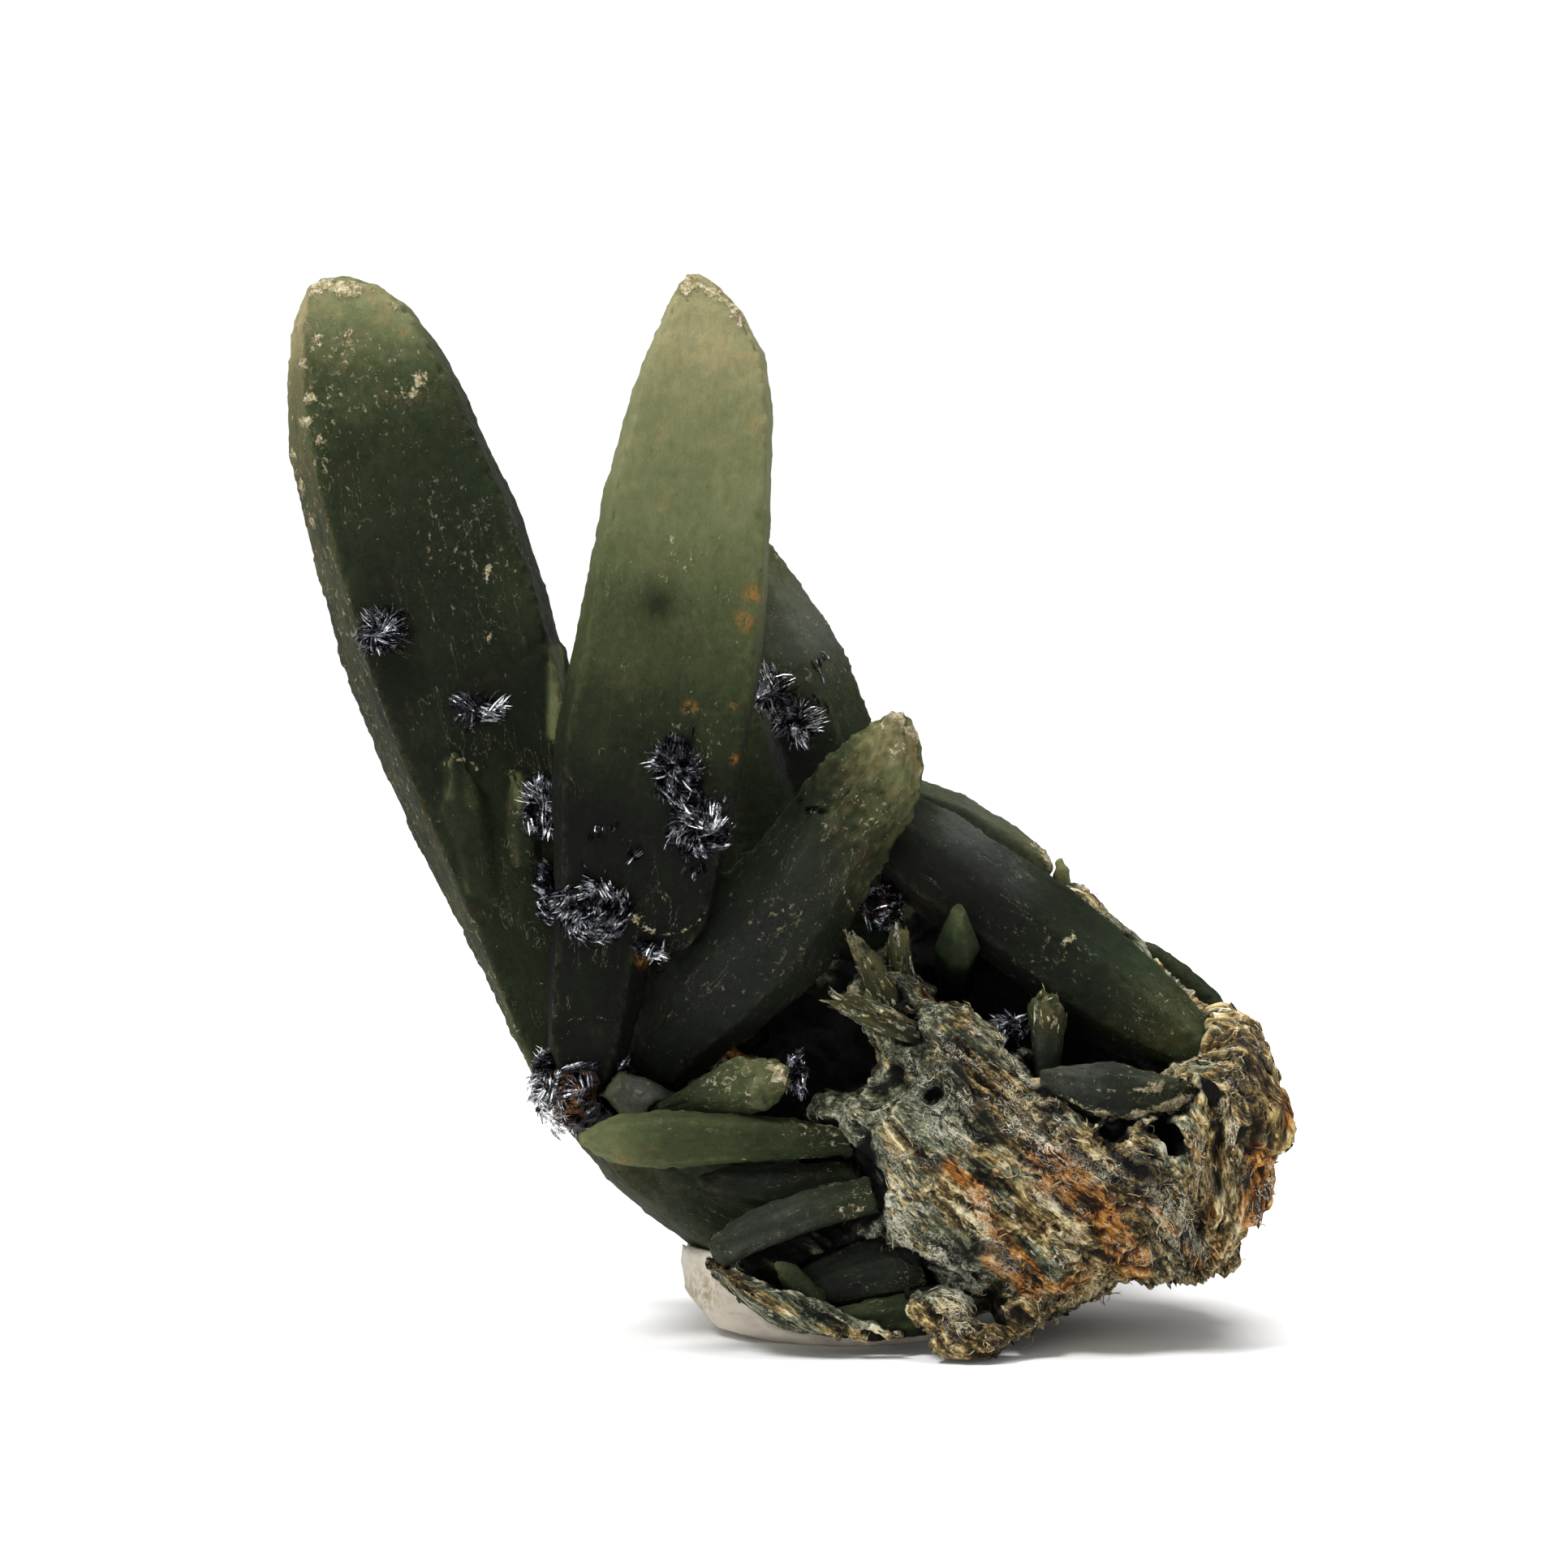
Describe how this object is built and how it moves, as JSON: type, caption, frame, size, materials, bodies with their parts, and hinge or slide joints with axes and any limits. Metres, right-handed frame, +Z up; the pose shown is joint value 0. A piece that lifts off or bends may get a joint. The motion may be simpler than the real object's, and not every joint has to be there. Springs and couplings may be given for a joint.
{
  "type": "prase quartz crystal cluster",
  "caption": "Spray of dark green flame-shaped prase quartz crystals on fibrous green and rust-brown rock, with hematite rosettes, standing on a lump of mounting putty",
  "frame": {"origin": "centre of the flat underside of the mounting putty, at the height of the surface that the cluster stands on", "axes": "+Z up, the pictured front faces -Y, +X to the right of the front view"},
  "size_m": [0.1, 0.0599, 0.1052],
  "materials": {
    "prase": "satin, faintly striated dark green quartz",
    "pale_prase": "satin, faintly translucent grey-green quartz",
    "rock": "rough, fibrous, grey-green to rust-brown",
    "hematite": "bright metallic blades, dark steel grey",
    "putty": "matte clay"
  },
  "bodies": {
    "root": {"centre_crystal": "pale_prase", "left_crystal": "prase", "front_crystal": "prase", "right_crystal": "prase", "rear_crystal": "prase", "right_rear_crystal": "pale_prase", "far_right_crystal": "prase", "lower_long_crystal": "pale_prase", "broken_crystal": "pale_prase", "lower_upper_crystal": "prase", "lower_middle_crystal": "prase", "lower_broad_crystal": "prase", "lower_pale_crystal": "pale_prase", "lower_flat_crystal": "prase", "tiny_pale_crystal": "pale_prase", "ledge_crystal": "prase", "green_stub_crystal": "prase", "upright_stub_crystal": "prase", "pale_stub_crystal": "pale_prase", "thin_blade_crystal": "pale_prase", "splintered_crystal": "pale_prase", "back_crystal_1": "prase", "back_crystal_2": "prase", "back_crystal_3": "prase", "back_crystal_4": "prase", "back_crystal_5": "prase", "back_crystal_6": "prase", "back_crystal_7": "prase", "back_crystal_8": "prase", "trunk_crystal": "prase", "hematite_rose_1": "hematite", "hematite_rose_2": "hematite", "hematite_rose_3": "hematite", "hematite_rose_4": "hematite", "hematite_rose_5": "hematite", "hematite_rose_6": "hematite", "hematite_rose_7": "hematite", "hematite_rose_8": "hematite", "hematite_rose_9": "hematite", "hematite_rose_10": "hematite", "hematite_rose_11": "hematite", "hematite_rose_12": "hematite", "hematite_rose_13": "hematite", "hematite_rose_14": "hematite", "matrix_rock": "rock", "mounting_putty": "putty"}
  },
  "joints": []
}
